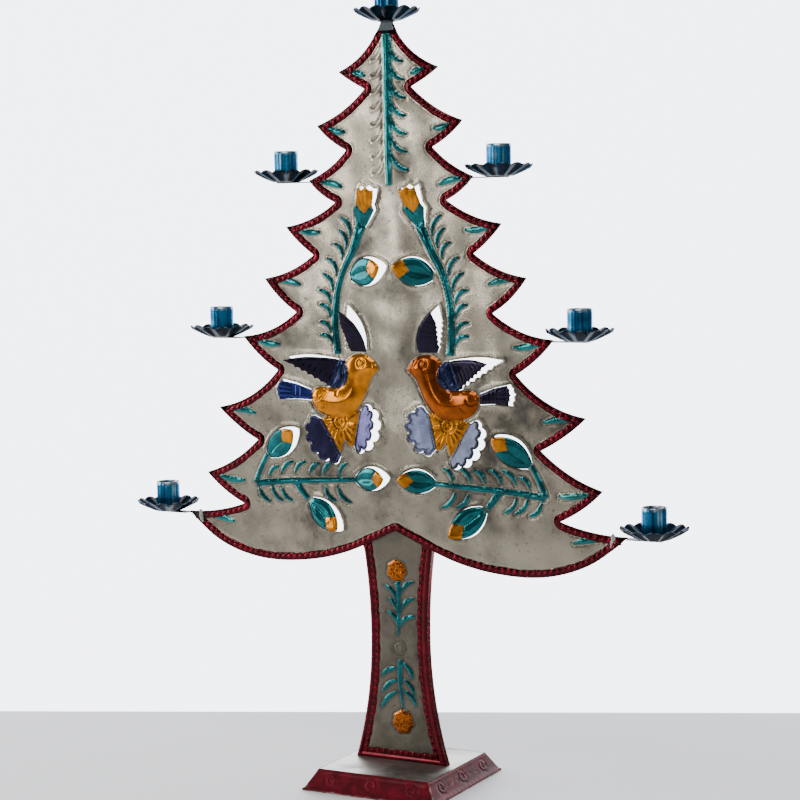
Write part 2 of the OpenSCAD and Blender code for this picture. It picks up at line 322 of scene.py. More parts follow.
def chased_sheet(outline, slits, work, place, fine, coarse, edge=None, band=0.0, back_step=3.0,
                 thick=TIN, warp=None, base=BARE, rim=1.4):
    """A closed sheet: a fine chased front, a plainer back that stays behind it, and a cut edge between them.

    place(points, height) turns sheet points and height into room coordinates in millimetres.
    Returns vertices, triangles, a colour for each triangle corner, and which triangles are smooth."""
    rings = [even(outline, rim)] + slits

    def metal(p):
        """Which points are on the sheet: inside its outline and outside every slit."""
        ok = inside(p, rings[0])
        for ring in slits:
            k = near(p, ring, 0.1)
            ok[k] &= ~inside(p[k], ring)
        return ok

    def clearance(p, lines):
        """Distance from each point to the nearest of the lines, capped at 9 mm."""
        gap = np.full(len(p), 9.0)
        for line, closed in lines:
            k = near(p, line, 4)
            if len(k):
                gap[k] = np.minimum(gap[k], line_distance(p[k], line, closed, 9)[0])
        return gap

    grid = hex_grid(outline.min(0), outline.max(0), fine)
    grid = grid[metal(grid)]
    to_edge, along, foot = line_distance(grid, rings[0], True)
    if edge is not None:
        width = edge(to_edge, along)[1]
        k = np.flatnonzero(abs(to_edge - width) < 0.55 * fine)
        grid[k] = foot[k] + (grid[k] - foot[k]) * (width[k] / to_edge[k])[:, None]
    crisp = [(np.vstack([ring, ring[:1]]), False) for ring, *_, is_crisp in work.areas if is_crisp]
    crisp += [(seam, False) for seam in work.seams]
    crisp_lines = []
    for line, _ in crisp:
        ok = metal(line) & (clearance(line, [(r, True) for r in rings]) > 0.35)
        stops = np.flatnonzero(~ok)
        runs = enumerate(np.split(line, stops))
        crisp_lines += [run[1:] if i else run for i, run in runs if len(run) > 2 + (i > 0)]
    busy_reach = 3.5
    gap = np.minimum(to_edge, clearance(grid, [(r, True) for r in slits] + crisp))
    busy = (to_edge < band + 1.0) | (gap < busy_reach)
    for ring, *_ in work.areas:
        k = near(grid, ring, 0.1)
        busy[k] |= inside(grid[k], ring)
    for line, _, width, closed in work.lines:
        k = near(grid, line, 3 * width)
        if len(k):
            busy[k] |= line_distance(grid[k], line, closed)[0] < 2.5 * width
    slow = hex_grid(outline.min(0), outline.max(0), coarse)
    slow = slow[metal(slow)]
    clear = line_distance(slow, rings[0], True)[0] > band + 1.2
    clear &= clearance(slow, [(r, True) for r in slits] + crisp) > busy_reach
    for ring, *_ in work.areas:
        k = near(slow, ring, 0.1)
        clear[k] &= ~inside(slow[k], ring)
    v, f = triangulate(rings, crisp_lines, np.vstack([grid[busy & (gap > 0.45 * fine)], slow[clear]]), metal)

    h, hollow_darkening = work.height(v)
    mid = v[f].mean(1)
    colours = work.paint(mid, np.tile(base, (len(f), 1)))
    if edge is not None:
        h += edge(*line_distance(v, rings[0], True)[:2])[0]
        d, s, _ = line_distance(mid, rings[0], True)
        colours[d < edge(d, s)[1]] = RED
    h += 0 if warp is None else warp(v)
    corners = np.repeat(colours, 3, axis=0)
    # the hollows are painted darker: the bare tin by more, the lacquer by less
    corners[:, :3] /= (1 + (1.5 - 1.0 * corners[:, 3]) * hollow_darkening[f].ravel())[:, None]
    # the edge lacquer is lightened as edge() gives: thinner lacquer and painted highlight on its raised work
    if edge is not None:
        lit = edge(*line_distance(v, rings[0], True)[:2])[2][f].ravel()
        corners[:, :3] *= np.where(np.repeat(d < edge(d, s)[1], 3), lit, 1)[:, None]

    grid = hex_grid(outline.min(0), outline.max(0), back_step)
    grid = grid[metal(grid)]
    grid = grid[clearance(grid, [(r, True) for r in rings]) > 1.2]
    bv, bf = triangulate(rings, [], grid, metal)
    bh = lowest_near(v, h, bv, 1.2 * back_step)

    strips, n = [], 0
    for ring in rings:
        i = n + np.arange(len(ring))
        j = n + (np.arange(len(ring)) + 1) % len(ring)
        strips += [np.column_stack([i, j, j + len(v)]), np.column_stack([i, j + len(v), i + len(v)])]
        n += len(ring)
    if abs(v[:n] - np.vstack(rings)).max() > 0.01 or abs(bv[:n] - np.vstack(rings)).max() > 0.01:
        raise ValueError("the two faces of a sheet do not share an edge")
    strips = np.vstack(strips)
    verts = np.vstack([place(v, h + thick), place(bv, bh)])
    faces = np.vstack([f, bf[:, ::-1] + len(v), strips])
    flags = np.arange(len(faces)) < len(f) + len(bf)
    plain = np.tile([0.8, 0.8, 0.8, base[3]], ((len(bf) + len(strips)) * 3, 1))
    if base[3] > 0:
        plain[:, :3] = base[:3]
    return verts, faces, np.vstack([corners, plain]), flags


def joined(parts):
    """Several meshes given as arrays, as one."""
    verts, faces, corners, flags = zip(*parts)
    step = np.r_[0, np.cumsum([len(v) for v in verts])]
    return (np.vstack(verts), np.vstack([f + s for f, s in zip(faces, step)]),
            np.vstack(corners), np.concatenate(flags))


def make_piece(name, mesh_arrays, material, slot, *cad_nodes):
    """A finished object from arrays in millimetres, its lacquer stored on the triangle corners."""
    verts, faces, corners, flags = mesh_arrays
    mesh = bpy.data.meshes.new(name)
    mesh.vertices.add(len(verts))
    mesh.vertices.foreach_set("co", np.ascontiguousarray(verts * MM, np.float32).ravel())
    mesh.loops.add(len(faces) * 3)
    mesh.loops.foreach_set("vertex_index", faces.ravel().astype(np.int32))
    mesh.polygons.add(len(faces))
    mesh.polygons.foreach_set("loop_start", np.arange(0, len(faces) * 3, 3, dtype=np.int32))
    mesh.polygons.foreach_set("loop_total", np.full(len(faces), 3, np.int32))
    mesh.polygons.foreach_set("use_smooth", flags)
    paint = mesh.color_attributes.new("paint", "FLOAT_COLOR", "CORNER")
    paint.data.foreach_set("color", corners.astype(np.float32).ravel())
    mesh.materials.append(material)
    mesh.update(calc_edges=True)
    piece = bpy.data.objects.new(name, mesh)
    bpy.context.scene.collection.objects.link(piece)
    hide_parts(*cad_nodes)
    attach(piece, "root")


def lacquered_tin(name, lacquer="paint", tin=(0.53, 0.475, 0.37), old=(0.10, 0.092, 0.078), rough=0.25,
                  gloss=0.14, wear=0.35, metal=0.85, grain=1.0, sheen=(0.5, 0.5, 0.5), coat=0.22):
    """Aged tinplate: cloudy bare metal with fine scratches, under clear coloured lacquer where brushed.

    tin and old are the clean and the tarnished metal, and rough is its roughness. The lacquer is one colour
    all over, None for bare metal, or "paint": the piece's own colour attribute. Its alpha is the cover, and
    where there is no cover its colour darkens the bare tin: real grime, darker hollows and painted
    reflection.
    gloss, sheen and coat are for lacquer."""
    mat = bpy.data.materials.new(name)
    mat.use_nodes = True
    tree = mat.node_tree
    tree.nodes.clear()

    def add(kind, inputs=None, **props):
        node = tree.nodes.new(kind)
        for key, value in props.items():
            setattr(node, key, value)
        for key, value in (inputs or {}).items():
            if isinstance(value, bpy.types.NodeSocket):
                tree.links.new(value, node.inputs[key])
            elif isinstance(value, tuple) and len(value) == 3 and node.inputs[key].type == "RGBA":
                node.inputs[key].default_value = (*value, 1)
            else:
                node.inputs[key].default_value = value
        return node

    def maths(op, a, b, clamp=False):
        return add("ShaderNodeMath", {0: a, 1: b}, operation=op, use_clamp=clamp).outputs[0]

    def noise(scale, detail, coords, rough=0.55):
        return add("ShaderNodeTexNoise", {"Vector": coords, "Scale": scale, "Detail": detail,
                                          "Roughness": rough}).outputs["Fac"]

    def step(value, low, high):
        return add("ShaderNodeMapRange", {"Value": value, "From Min": low, "From Max": high},
                   interpolation_type="SMOOTHSTEP").outputs[0]

    def mix(fac, a, b, blend="MIX"):
        return add("ShaderNodeMix", {0: fac, 6: a, 7: b}, data_type="RGBA", blend_type=blend).outputs[2]

    def blend(fac, a, b):
        return add("ShaderNodeMix", {0: fac, 2: a, 3: b}).outputs[0]

    place = add("ShaderNodeTexCoord").outputs["Object"]
    drawn = add("ShaderNodeMapping", {"Vector": place, "Rotation": (0.2, 0.3, 0.1),
                                      "Scale": (9, 9, 1.1)}).outputs[0]
    cloud = noise(20, 6, place, 0.62)
    speck = noise(260, 3, place)
    scratch = noise(110, 4, drawn, 0.7)
    dulled = maths("ADD", rough - 0.06, maths("MULTIPLY", cloud, 0.16))
    tarnished = maths("MULTIPLY", step(cloud, 0.38, 0.66), step(noise(7, 4, place, 0.6), 0.34, 0.62))
    bare = mix(tarnished, tin, old)
    bare = mix(maths("MULTIPLY", step(speck, 0.60, 0.72), 0.5), bare, tuple(c * 0.5 for c in old))
    grains = maths("ADD", maths("MULTIPLY", scratch, 0.30), maths("MULTIPLY", noise(48, 3, place), 1.2))
    bump = add("ShaderNodeBump", {"Height": grains, "Strength": 0.14 * grain, "Distance": 0.0006}).outputs[0]
    look = {"Base Color": bare, "Metallic": 1.0, "Roughness": dulled, "Normal": bump}
    if lacquer is not None:
        worn = maths("MULTIPLY", step(noise(300, 4, place, 0.68), 0.64, 0.70), wear)
        cover = maths("SUBTRACT", 1.0, worn)
        if lacquer == "paint":
            paint = add("ShaderNodeAttribute", attribute_name="paint")
            colour = paint.outputs["Color"]
            cover = maths("MULTIPLY", paint.outputs["Alpha"], cover, True)
            bare = mix(1.0, bare, colour, "MULTIPLY")
            pooled, glint = mix(0.5, colour, (0.0, 0.0, 0.0)), mix(0.35, colour, sheen)
        else:
            colour = lacquer
            pooled = tuple(0.5 * c for c in lacquer)
            glint = tuple(0.65 * c + 0.35 * s for c, s in zip(lacquer, sheen))
        pool = mix(step(noise(75, 4, place), 0.35, 0.70), pooled, colour)
        look.update({"Base Color": mix(cover, bare, pool), "Roughness": blend(cover, dulled, gloss),
                     "Metallic": maths("SUBTRACT", 1.0, maths("MULTIPLY", cover, 1 - metal)),
                     "Specular Tint": mix(cover, (1.0, 1.0, 1.0), glint),
                     "Coat Weight": maths("MULTIPLY", cover, coat), "Coat Roughness": 0.08})
    shade = add("ShaderNodeBsdfPrincipled", look)
    tree.links.new(shade.outputs[0], add("ShaderNodeOutputMaterial").inputs[0])
    return mat


right = [swept([6.5, TREE_HIGH], tips[0], -hollow[0], 12)]
for i in range(TIERS - 1):
    right += [swept(tips[i], dips[i], swell[i], 9), swept(dips[i], tips[i + 1], -hollow[i + 1], 12)]
right = np.vstack(right + [smooth([tips[8]] + lobe, 5)])
tree_outline = np.vstack([right, flipped(right[:-1])[::-1]])

# the flaps of the right-hand side, each from one end of its hinge round to the other
buds = [([49, 285], [4, 296], 28), ([47, 85.5], [5, 89], 24), ([147, 105], [108, 134], 26),
        ([99, 64.5], [60, 34], 26)]
tulip = np.array([[38.5, 333], [38, 342], [39.3, 351.5], [35.5, 356.5], [33.5, 366], [32, 373.5], [27, 371],
                  [22, 374], [17.5, 370.5], [13, 370.5], [14.5, 362], [17, 355], [15.3, 350], [20, 342.5],
                  [27, 333]], float)
high_wing = np.vstack([[49, 212], toothed([52, 218], [55.5, 244], 5, 1.8), smooth([[51, 258], [42, 250],
                       [33, 239], [28, 226], [27, 212]], 4)])
side_wing = np.vstack([[71, 176.2], toothed([75, 177.5], [112, 201], 6, 2.2),
                       smooth([[119, 206], [97, 208.5], [75, 207], [60.5, 204.6]], 4)])
tail = np.vstack([[93, 163], [110, 164], toothed([128, 163], [131, 174], 2, 1.6),
                  toothed([131, 174], [126, 185], 2, 1.6), [109, 180], [93, 174]])


def scalloped(points):
    """Round lobes between successive points, standing out to the left."""
    runs = []
    for a, b in zip(points[:-1], points[1:]):
        a, b = np.array(a, float), np.array(b, float)
        ang = np.linspace(0, np.pi, 7)[:-1, None]
        outward = left_of(b - a) * np.hypot(*(b - a)) * 0.42 * np.sin(ang)
        runs.append((a + b) / 2 - (b - a) / 2 * np.cos(ang) + outward)
    return np.vstack(runs + [np.array(points[-1:], float)])


inner_lobe = np.vstack([[46, 118.5], scalloped([[42, 114.5], [33, 116.5], [24, 124.5], [19, 135], [18.5, 146],
                                                [24, 155], [35, 157]]), [38, 154]])
outer_lobe = np.vstack([[60, 108.5], scalloped([[62, 104], [73, 105], [84, 110.5], [91, 120], [95, 130.5],
                                                [94, 141], [86, 147]][::-1])[::-1], [82, 145.5]])

stem = smooth([[32, 336], [43, 311], [54, 291], [60.5, 272], [63.5, 253], [64, 234], [62, 209.5]], 6)
sprig = smooth([[44, 85.5], [86, 83], [122, 81], [160, 77]], 6)
bird = smooth([[15.5, 195.5], [20, 202.5], [27, 208], [36, 210], [45, 208.5], [52, 203], [55.5, 194],
               [56, 183], [62, 176.5], [74, 176.5], [86, 176], [92, 170], [90.5, 159], [83, 151.5], [70, 147],
               [56, 147], [45, 152], [36.5, 162], [30, 174], [25, 185.5], [20, 191], [15.5, 195.5]], 4)[:-1]
shoulder = smooth([[61, 204.5], [53.5, 202], [49, 193], [50.5, 183], [59, 176.5], [69, 175.5], [74.5, 177.5],
                   [68, 191], [61, 204.5]], 5)[:-1]
eye, fan_middle = [34, 201], [60, 142.5]
fan = [[38.5, 155], [46, 153.5], [53, 148], [60, 146.5], [70, 148], [82, 145.5], [71, 127], [61, 112],
       [58.5, 119], [56.3, 126], [53, 121], [49.5, 118.5], [46, 118.5]]
spokes = [16, 19, 22, 24, 17, 20, 21, 19, 15]
stem_leaves = [((55.8, 343.9), (45.5, 324)), ((58.8, 331.5), (51, 312)), ((64.9, 318.1), (55, 302)),
               ((73.2, 303.7), (62, 286)), ((78.3, 288.5), (66.5, 271)), ((83.3, 272.3), (69, 259)),
               ((82, 258.1), (69.5, 245.6)), ((82.7, 240.9), (69.5, 230)), ((82.5, 227.5), (67.5, 219))]
sprig_up = [((53, 101), (63, 87)), ((70, 101), (82, 88)), ((85, 100), (97, 88)), ((101, 101), (114, 88)),
            ((115, 101), (130, 87)), ((132, 95), (144, 84))]
sprig_down = [((50, 62), (66, 79)), ((66, 63), (80, 78)), ((117, 61), (130, 76)), ((128, 60), (142, 77)),
              ((143, 59), (157, 74))]

work = Chasing()
slits, flaps = [], []
rng = np.random.default_rng(4)
SLIT = 0.55
CURL = 4.0


def cut_flap(window, lift, coat, dome=1.0):
    """Slits the sheet round a flap that stays joined on the straight line between the window's ends."""
    w = even(window, 0.8, False)
    closed = np.roll(w, -1, 0)
    turn = 1 if (w[:, 0] * closed[:, 1] - closed[:, 0] * w[:, 1]).sum() > 0 else -1
    inward = left_of(np.gradient(w, axis=0)) * turn
    slits.append(np.vstack([w, (w + inward * SLIT)[::-1]]))
    ring = w + inward * SLIT / 2
    hinge = (w[-1] - w[0]) / np.hypot(*(w[-1] - w[0]))
    into = left_of(hinge)[0]
    into *= np.sign((ring.mean(0) - w[0]) @ into)
    flaps.append((w[0], hinge, into, ring, math.radians(lift + rng.uniform(-1.5, 1.5))))
    work.line((w - inward * 2.3)[2:-2], -0.8, 0.85)
    work.line((w - inward * 0.9)[2:-2], 0.30, 0.5)
    work.coat(ring, coat, [w[0] + (inward[0] + hinge) * SLIT, w[-1] + (inward[-1] - hinge) * SLIT])
    work.area(w + inward * SLIT, None, dome, 4.0, 0, False)
    return ring


for flip in (np.array, flipped):
    left = flip is flipped
    for root, tip, width in buds:
        root, tip = flip([root])[0], flip([tip])[0]
        shape = bud_shape(root, tip, width)
        flap = cut_flap(shape, 14, TEAL, 1.3)
        edge_at = float(bud_half(0.77, width)) - 1.2
        notch = [[0.77, edge_at], [0.62, 1.2], [0.585, 0], [0.62, -1.2], [0.77, -edge_at]]
        far = [[0.77, -width], [1.3, -width], [1.3, width], [0.77, width]]
        work.coat(along_axis(root, tip, notch + far), AMBER, along_axis(root, tip, notch), within=flap)
        work.line(along_axis(root, tip, notch), 0.5, 0.6)
        work.line(along_axis(root, tip, [[0.22, 0], [0.4, 0.5], [0.585, 0]]), 0.8, 0.8)
        for side in (1, -1):
            work.line(along_axis(root, tip, [[0.15, 2.5 * side], [0.35, 6.5 * side], [0.55, 6.5 * side],
                                             [0.68, 3.5 * side]]), -0.45, 1.5)
    flap = cut_flap(flip(tulip), 13, TEAL, 1.0)
    crown = flip([[38, 356.5], [33.5, 355.5], [31, 351], [26.5, 347.5], [22.5, 351.5], [19.5, 353.5],
                  [15, 353.5]])
    work.coat(np.vstack([flip([[0, 353], [0, 385], [45, 385], [50, 358]]), crown]), AMBER, crown, within=flap)
    work.line(crown, 0.6, 0.8)
    for a, b in (([28, 351], [30.5, 368]), ([25.5, 350], [24, 369]), ([22.5, 353], [18, 367])):
        work.line(flip([a, b]), 0.7, 0.9)
    for a, b in (([33, 336], [35.5, 351]), ([30.5, 336], [21, 348]), ([32, 336], [28, 346])):
        work.line(flip([a, b]), 0.5, 0.8)

    # the left wing is cut a little narrower than the right
    cut_flap(flip(high_wing) if not left else flip(high_wing * [0.86, 1] + [5.5, 0]), 25, VIOLET, 1.4)
    for i in range(6):
        v = 217 + 5.2 * i
        work.line(flip(swept([53.5 + 0.1 * i, v], [36 - 0.4 * i, v - 1 + 1.6 * i], -2.0, 7)), 0.65, 0.75)
    work.line(flip(swept([29, 216], [48, 252], 3, 9)), -0.5, 1.3)
    cut_flap(flip(side_wing), 25, VIOLET, 1.4)
    for i in range(6):
        a = np.array([77.5 + 6 * i, 180 + 3.7 * i])
        work.line(flip(swept(a, a + [-4 - 1.2 * i, 15 - 1.2 * i], -1.6, 7)), 0.65, 0.75)
    work.line(flip(swept([72, 178], [66, 203], 3.5, 9)), 0.6, 1.0)
    work.line(flip(swept([66, 203], [112, 205], 1.0, 9)), -0.5, 1.3)
    # the left tail is painted a lighter blue than the right one's violet: a painted reflection
    cut_flap(flip(tail), 14, BLUE if left else VIOLET, 1.0)
    for a, b in (([106, 164.5], [106, 178.5]), ([110.5, 165], [110.5, 179.5])):
        work.line(flip([a, b]), 0.7, 0.8)
    for i in range(4):
        work.line(flip([[114, 167 + 3.4 * i], [126, 166.5 + 4.8 * i]]), 0.6, 0.8)
    # the lobes' blue lacquer in three shades: silver is a painted reflection on the right bird's inner lobe,
    # slate is painted shade on its outer lobe, and indigo is on both lobes of the left bird
    painted_reflection_blue, painted_shade_blue, indigo = BLUE * [5, 4, 1.3, 0.8], BLUE * [1, 0.8, 0.25, 1], BLUE * [1.5, 0.95, 0.5, 1]
    for shape, coat in ((inner_lobe, indigo if left else painted_reflection_blue), (outer_lobe, indigo if left else painted_shade_blue)):
        cut_flap(flip(shape), 25, coat, 1.2)
        root = np.array([48, 138.0])
        for j in range(5):
            a = shape[5 + 6 * j] if len(shape) > 5 + 6 * j else shape[-2]
            work.line(flip([a * 0.90 + root * 0.10, a * 0.76 + root * 0.24]), 0.28, 0.7)

    work.area(flip(ribbon(stem, [11, 7.4, 6.8, 7.2, 7.6, 8.0])), TEAL, 2.0, 3.7)
    sprays = [(stem_leaves, 4.4, 4.7), (sprig_up, 3.6, 4.5), (sprig_down, 3.6, 4.5)]
    for line, side in ((stem, 1.9), (stem, -1.9), (sprig, 1.4), (sprig, -1.4)):
        work.line(flip(line) + left_of(np.gradient(flip(line), axis=0)) * side, 0.35, 0.45)
    for spray, curve, width in sprays:
        for tip, root in spray:
            bend = -curve if spray is sprig_up else curve
            bend *= -1 if left else 1
            work.area(leaf(flip([root])[0], flip([tip])[0], bend, width), TEAL, 1.2, 2.3, 0.6)
    work.area(flip(ribbon(sprig, [4.6, 5.4, 5.8, 6.6])), TEAL, 1.7, 2.9)
    work.area(flip(ribbon(swept([161, 77], [143, 111], -1, 9), [5.6, 5.4, 4.6])), TEAL, 1.2, 1.8)
    work.area(flip(ribbon(swept([113, 81], [97, 62], 1, 9), [7.4, 6.4, 5.0])), TEAL, 1.2, 2.0)
    for i in range(TIERS):
        size = (15 if i < 2 else 19) + 1.4 * i
        a = tips[i] + ([-12.5, -2.5] if i < TIERS - 1 else [-20, -4])
        b = a - [size * 1.15, 3.0 + (i % 3)]
        colour = TEAL * [4, 1.5, 1.4, 0.95] if i % 3 != 1 or left else TEAL * [9, 1.8, 1.6, 0.8]
        work.area(flip(leaf(a, b, 1.8 if i % 2 else -1.8, 6.4)), colour, 0.9, 2.6, 0.4)
    work.area(flip(bird), AMBER * [1.2, 1.15, 1, 1] if left else RUST, 4.4, 18.5, 0.7)
    # the side wing's shoulder laps over the back of the body
    work.area(flip(shoulder), VIOLET * [1.9, 6, 3.6, 1], 1.1, 5.0, 0.1)
    work.area(flip(fan), AMBER, 1.3, 3.0, 0.3)
    round_once = np.linspace(0, 2 * np.pi, 19)[:-1]
    for centre, radius, depth in ((eye, 3.3, 0.8), (eye, 1.7, -0.7), (fan_middle, 5.2, -0.9),
                                  (fan_middle, 3.0, 0.8), (fan_middle, 7.2, 0.5)):
        work.line(flip(hoop(centre, radius, round_once)), depth, 0.75, True)
    for i, reach in enumerate(spokes):
        a = math.radians(192 + i * 19)
        work.line(flip(np.array(fan_middle) + [[8.5 * math.cos(a), 8.5 * math.sin(a)],
                                               [reach * math.cos(a), reach * math.sin(a)]]), -1.0, 0.95)
    work.line(flip(smooth([[25.5, 206], [23, 200.5], [22, 196], [23, 191]], 3)), 0.7, 0.6)
    work.line(flip(swept([80, 167], [91, 167], -4, 8)), 0.7, 0.6)
    work.line(flip(swept([74, 161], [87, 157], -3, 8)), 0.7, 0.6)
    work.line(flip(swept([56, 184], [62, 166], 3, 8)), 0.9, 0.9)
    for _ in range(14):
        a = np.array([rng.uniform(30, 205), rng.uniform(60, 330)])
        work.line(flip([a, a + rng.normal(0, 1, 2) * [5, 14]]), 0.10, 0.3)

# the central stem is painted a lighter teal than the side stems: a painted highlight
work.area(ribbon([[0, 373], [0, 440], [0, 526]], [6.0, 8.4, 10.0]), TEAL * [3, 1.7, 1.6, 1], 2.0, 4.4, 0.1)
for x in (-1.8, 1.8):
    work.line([[x, 376], [x, 523]], 0.35, 0.45)
for i in range(7):
    v = 490.5 - 17.2 * i
    reach = 17.5 + 0.75 * i
    work.area(leaf([3.6, v + 16.5], [reach, v], -4.6, 4.8), TEAL * [1.1, 1.1, 1.05, 1], 1.1, 1.8, 0.6)
for i in range(8):
    v = 495 - 15.6 * i
    work.line(smooth([[-5.4, v + 14.5], [-8.0, v + 6.0], [-11.8, v + 1.4], [-17.5, v]], 5), 0.85, 1.0)
    work.line(smooth([[-6.0, v + 9.5], [-8.6, v + 2.6], [-12.4, v - 1.8], [-17.5, v - 3.0]], 5), -0.85, 1.2)


def tree_place(points, height):
    """Sheet points and height to the room, the front towards -Y.

    A flap turns forward about its hinge, on an arc over its first few millimetres and then straight."""
    p = np.array(points, float)
    # under the bracket at the apex the sheet is left flat
    worked = ((523.5 - p[:, 1]) / 6).clip(0, 1) ** 1.5
    ahead = TIN * (height > 0.5 * TIN) * (1 - worked) + np.array(height, float) * worked
    for start, hinge, into, ring, lift in flaps:
        k = near(points, ring, 0.5)
        k = k[inside(points[k], ring)]
        r = points[k] - start
        u = r @ into
        bent = u.clip(0, CURL) * lift / CURL
        run = np.sin(bent) * CURL / lift + (u - CURL).clip(0) * math.cos(lift) + u.clip(None, 0)
        rise = (1 - np.cos(bent)) * CURL / lift + (u - CURL).clip(0) * math.sin(lift)
        p[k] = start + (r @ hinge)[:, None] * hinge + (run - ahead[k] * np.sin(bent))[:, None] * into
        ahead[k] = rise + ahead[k] * np.cos(bent)
    return np.column_stack([p[:, 0], FRONT - ahead, p[:, 1] + TREE_FOOT])


def tree_border(d, s):
    """Red border: slanted bosses in a row between two fine lines.

    Returns height, the width of the lacquer, and how brightly it shows: lighter on the bosses and just inside
    the edge, partly for thinner lacquer and partly as painted highlight, and darker at the very edge."""
    lean = 0.5 + 0.5 * np.cos(2 * np.pi * (s + 0.8 * (d - 4.2)) / 6.6)
    boss = np.exp(-(((d - 4.3) / 1.5) ** 2)) * lean ** 2.5
    h = 1.15 * boss + 0.25 * np.exp(-(((d - 4.0) / 3.0) ** 2))
    h += 0.3 * np.exp(-((d / 0.9) ** 2)) - 0.4 * np.exp(-(((d - 7.9) / 0.6) ** 2))
    # lighter on the bosses and the rim: partly thinner lacquer, partly painted highlight
    thin = 0.6 + 4.5 * boss ** 1.5 + 0.5 * np.exp(-(((d - 1.0) / 0.5) ** 2)) - 0.5 * np.exp(-((d / 0.5) ** 2))
    return h, 7.6 + 0.25 * np.sin(s / 5.1) + 0.15 * np.sin(s / 1.9), thin


def hand_flat(p):
    """Never quite flat: slow waves, smaller dents, and a soft crown down the middle."""
    return 1.2 * waves(p, 34, 5) + 0.42 * waves(p, 12, 8) + 1.6 * np.exp(-((p[:, 0] / 26) ** 2))


tree_sheet = chased_sheet(tree_outline, slits, work, tree_place, 1.3, 4.0, edge=tree_border, band=9.5,
                          warp=hand_flat)
# the sheet is painted much darker round every tip, where the arms are soldered
verts, faces, corners, _ = tree_sheet
where = verts[faces.ravel()][:, [0, 2]] - [0, TREE_FOOT]
for tip in np.vstack([tips, flipped(tips)]):
    k = near(where, [tip], 20)
    tip_darkening = 0.86 * np.exp(-((np.hypot(*(where[k] - tip).T) / 9) ** 2))
    corners[k, :3] *= 1 - tip_darkening[:, None]
# the bare tin is painted darker in its lower half: a painted reflection of a dark floor, which the pale floor
# here does not give
dark_floor_reflection = 0.36 * ((290 - where[:, 1]) / 150).clip(0, 1)[:, None]
corners[:, :3] *= 1 - dark_floor_reflection * (1 - corners[:, 3:])
tree_tin = lacquered_tin("chased tinplate")
make_piece("tree_sheet", tree_sheet, tree_tin, "tree_tin", "tree_panel")

# ---------------------------------------------------------------------------
# The front of the trunk: a sheet with its long edges folded back round the sides,
# a row of punched dots inside a plain red moulding, and two sprigs with a stamped
# ring between them.

lo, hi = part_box("trunk_front")
trunk_foot, trunk_top = lo.z / MM, hi.z / MM
trunk_face, trunk_rear = FRONT, hi.y / MM
WAIST_HALF, WAIST_Z, LOWER_ARC, UPPER_ARC = 31.5, 145.45, 420, 588


def trunk_half(z):
    """Half-width: the waist plus the sagitta of one arc below it and a flatter one above it."""
    z = np.array(z, float)
    r = np.where(z < WAIST_Z, LOWER_ARC, UPPER_ARC)
    return WAIST_HALF + r - np.sqrt(r * r - (z - WAIST_Z) ** 2)


rise = np.linspace(trunk_foot, trunk_top, 40)
flank = np.column_stack([trunk_half(rise), rise])
trunk_outline = np.vstack([flank, flipped(flank)[::-1]])


PETALS = 7


def flower(centre, width, height):
    """A small round flower head with seven shallow petals: the radius swells by 6% seven times round."""
    a = np.linspace(0, 2 * np.pi, 6 * PETALS + 1)[:-1]
    r = 0.5 * (1 + 0.06 * np.cos(PETALS * a + 1))
    return np.array(centre) + np.column_stack([width * r * np.cos(a), height * r * np.sin(a)])


trunk_work = Chasing()
sprays = [
    ([[0.4, 200], [1.2, 175], [-0.7, 146]], [5.4, 4.4, 2.0],
     [((-14.3, 195), (-2.6, 180)), ((-11.5, 181.5), (-1.6, 169)), ((-12.6, 169), (-1.4, 156)),
      ((18.5, 200), (4.4, 188)), ((19, 183.5), (4.2, 171)), ((18, 165.5), (2.2, 155))]),
    ([[1.6, 122], [0.8, 100], [3.9, 73]], [5.0, 4.6, 2.0],
     [((-19.5, 104), (-1.6, 113)), ((-19, 87.5), (-2, 101)), ((-20, 72.5), (-1.2, 90)),
      ((15.1, 103), (3.6, 119)), ((17, 87), (3.2, 103)), ((18.5, 76.5), (3.6, 91))])]
for line, widths, leaves in sprays:
    for tip, root in leaves:
        bend = 3.6 if tip[0] > 0 else -3.6
        bend *= 1 if tip[1] > root[1] else 0.8
        trunk_work.area(leaf(root, tip, bend, 4.6), TEAL, 1.0, 1.7)
    trunk_work.area(ribbon(smooth(line, 8), widths), TEAL, 1.3, 1.8)
    trunk_work.line(smooth(line, 8), 0.4, 0.5)
for centre, width, height in (((-0.8, 210.5), 21, 21), ((3.4, 60), 22.5, 23)):
    head = flower(centre, width, height)
    trunk_work.area(head, AMBER * [0.6, 0.42, 1, 1], 1.8, 4.0, 0.5)
    centre = np.array(centre)
    for petal in head[::6]:
        trunk_work.line([petal * 0.82 + centre * 0.18, petal * 0.25 + centre * 0.75], 0.6, 0.8)
    trunk_work.line(hoop(centre, 2.6, np.linspace(0, 2 * np.pi, 15)[:-1]), 0.6, 0.7, True)
round_once = np.linspace(0, 2 * np.pi, 25)[:-1]
for radius, depth, width in ((8.2, 0.5, 0.6), (7.2, -0.6, 0.8), (6.2, 0.5, 0.6), (3.2, -0.3, 1.1)):
    wobble = radius * (1 + 0.03 * np.cos(5 * round_once))[:, None]
    trunk_work.line(hoop([0.1, 133.9], wobble, round_once), depth, width, True)


